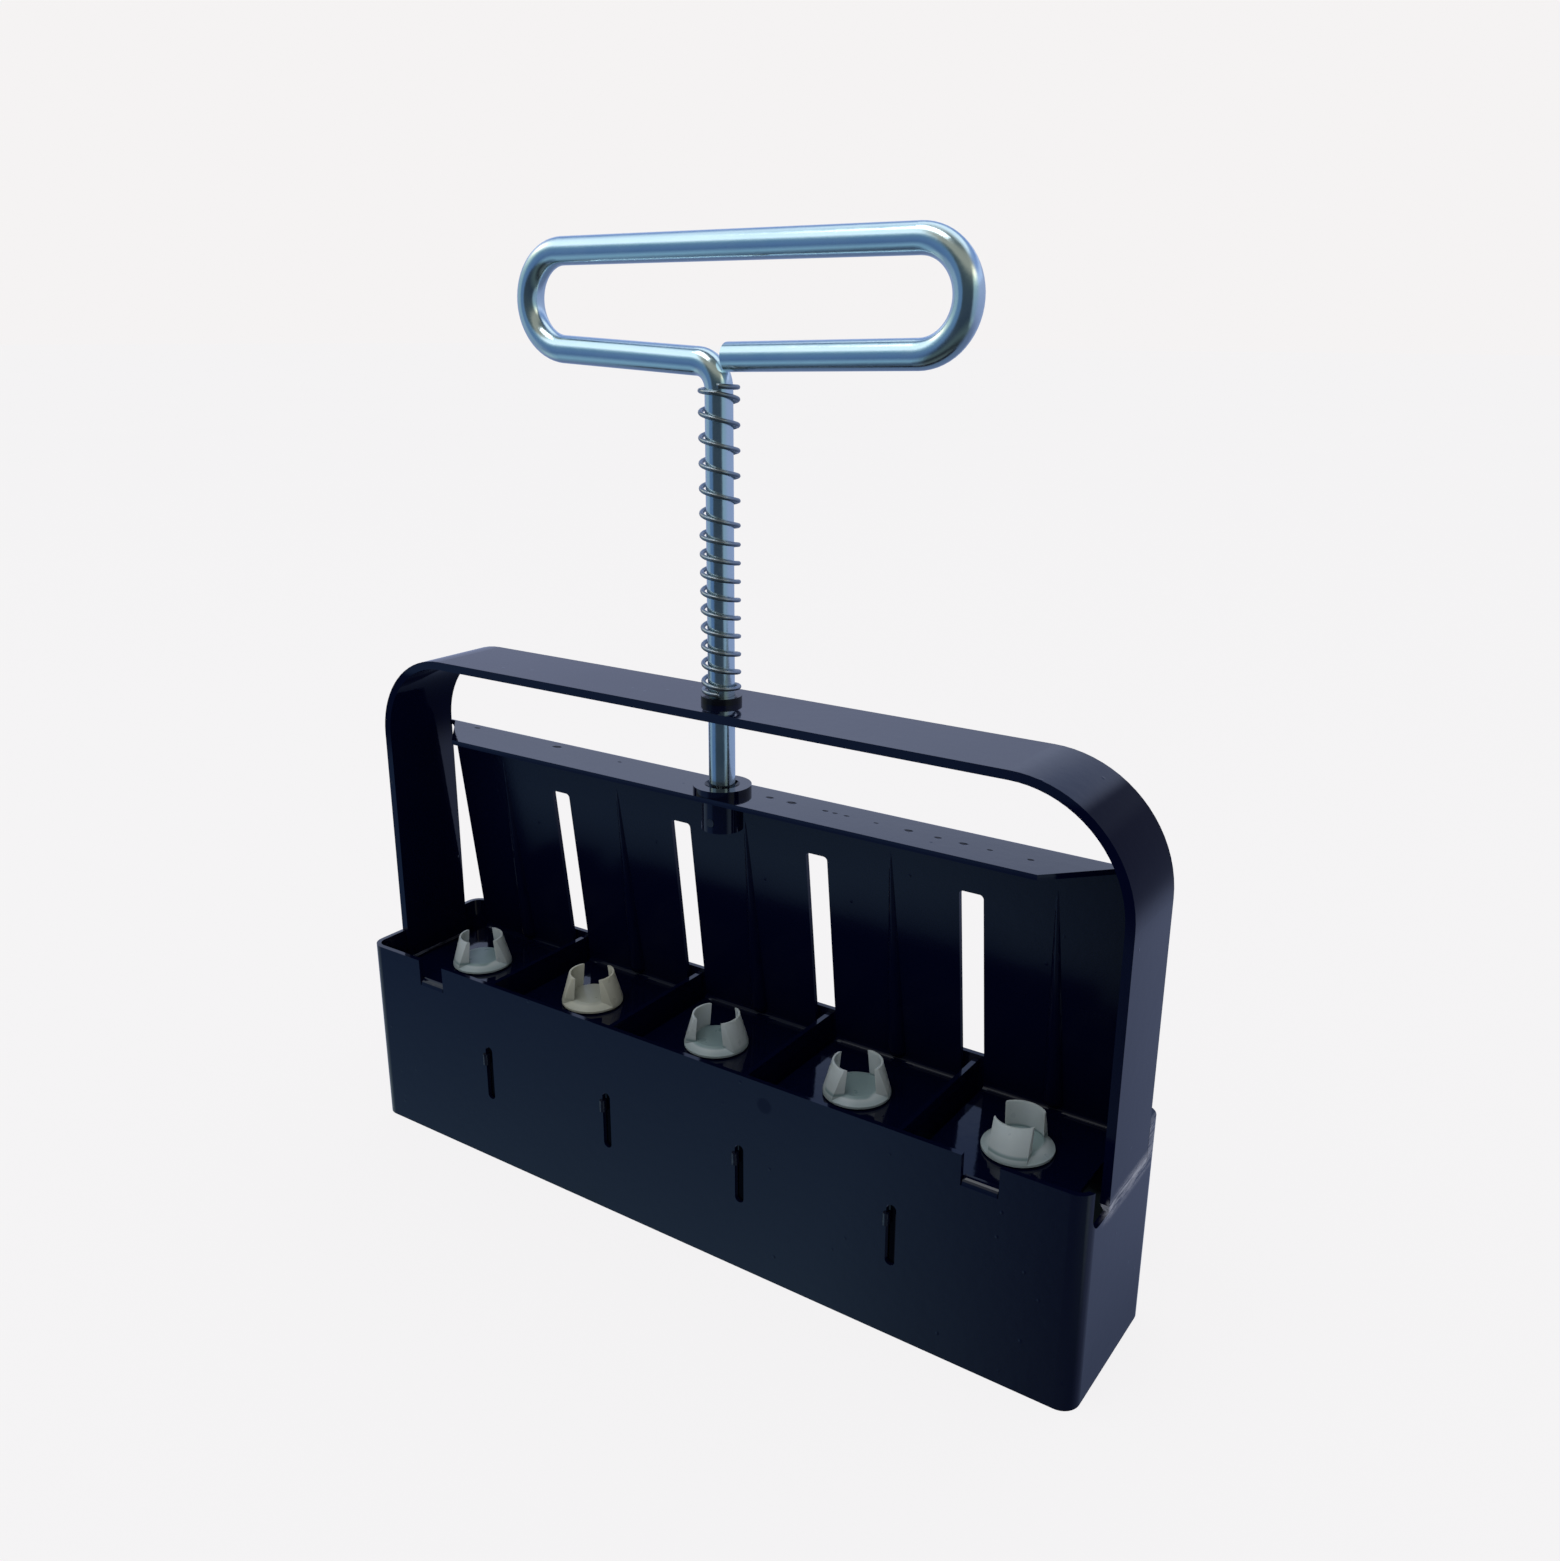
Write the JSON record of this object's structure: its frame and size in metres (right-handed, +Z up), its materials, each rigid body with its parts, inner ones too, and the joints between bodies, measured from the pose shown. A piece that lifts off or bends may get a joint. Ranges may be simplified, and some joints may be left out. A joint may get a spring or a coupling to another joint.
{
  "type": "soil blocker",
  "caption": "Hand-held soil blocker: a sheet-steel mould of square cells with a sprung ejector, seed-hole pins, a flat strap and a bent rod handle.",
  "frame": {"origin": "middle of the mould box's footprint, on the surface that it stands on", "axes": "+X along the mould box, +Y to its back, +Z up along the plunger rod"},
  "size_m": [0.2032, 0.0408, 0.2259],
  "materials": {
    "black_paint": "gloss",
    "painted_weld": "rough",
    "black_nylon": "gloss",
    "bright_zinc": "bright zinc plate",
    "spring_steel": "satin",
    "steel": "satin",
    "white_nylon": "satin"
  },
  "bodies": {
    "mould": {"mould_shell": "black_paint", "partition_1": "black_paint", "partition_2": "black_paint", "partition_3": "black_paint", "partition_4": "black_paint", "tab_tacks": "painted_weld", "handle_strap": "black_paint", "strap_weld_left": "painted_weld", "strap_weld_right": "painted_weld", "strap_bush": "black_nylon", "return_spring": "spring_steel"},
    "plunger": {"handle_rod": "bright_zinc", "ejector": "black_paint", "rod_boss": "black_paint", "cross_pin": "steel", "dibble_pin_1": "white_nylon", "dibble_pin_2": "white_nylon", "dibble_pin_3": "white_nylon", "dibble_pin_4": "white_nylon", "dibble_pin_5": "white_nylon"}
  },
  "joints": [
    {"name": "plunge", "type": "slide", "parent": "mould", "child": "plunger", "axis": [0, 0, 1], "range_m": [-0.0425, 0], "stiffness_N_per_m": 1400, "springref_m": 0.01, "deforming": ["return_spring"]}
  ]
}
